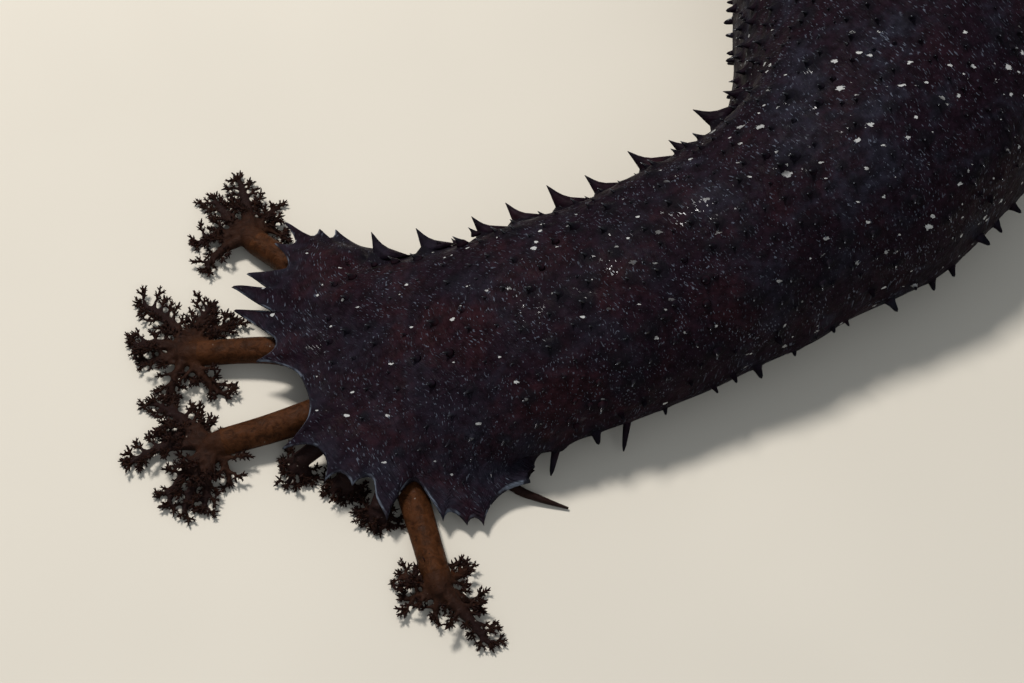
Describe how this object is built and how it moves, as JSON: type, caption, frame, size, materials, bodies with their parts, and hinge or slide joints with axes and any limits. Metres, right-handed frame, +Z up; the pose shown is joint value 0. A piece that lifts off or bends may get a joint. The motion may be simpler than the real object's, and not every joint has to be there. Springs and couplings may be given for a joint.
{
  "type": "sea cucumber",
  "caption": "Life-size model of a black sea cucumber on the sea bed, its body bent, with pointed papillae, a scalloped hood and bushy feeding tentacles reaching out.",
  "frame": {"origin": "on the floor, under the middle of the animal's box, tentacles included", "axes": "+Y towards the hind end, away from the viewer of the picture; +X to the viewer's right; +Z up. The animal's head end lies towards -X and -Y."},
  "size_m": [0.19, 0.2744, 0.0442],
  "materials": {
    "skin": "moist near-black purple-brown skin with a bluish sheen",
    "mouth": "moist dark brown flesh round the mouth",
    "stalk": "smooth, slightly translucent brown flesh",
    "crown": "moist dark brown branches, almost black at the tips"
  },
  "bodies": {
    "root": {"hood": "skin", "neck": "skin", "trunk_front": "skin", "trunk_middle": "skin", "trunk_rear": "skin", "tail": "skin", "mouth": "mouth", "tentacle_far_stalk": "stalk", "tentacle_left_stalk": "stalk", "tentacle_front_stalk": "stalk", "tentacle_near_stalk": "stalk", "tentacle_far_crown": "crown", "tentacle_left_crown": "crown", "tentacle_front_crown": "crown", "tentacle_near_crown": "crown"}
  },
  "joints": []
}
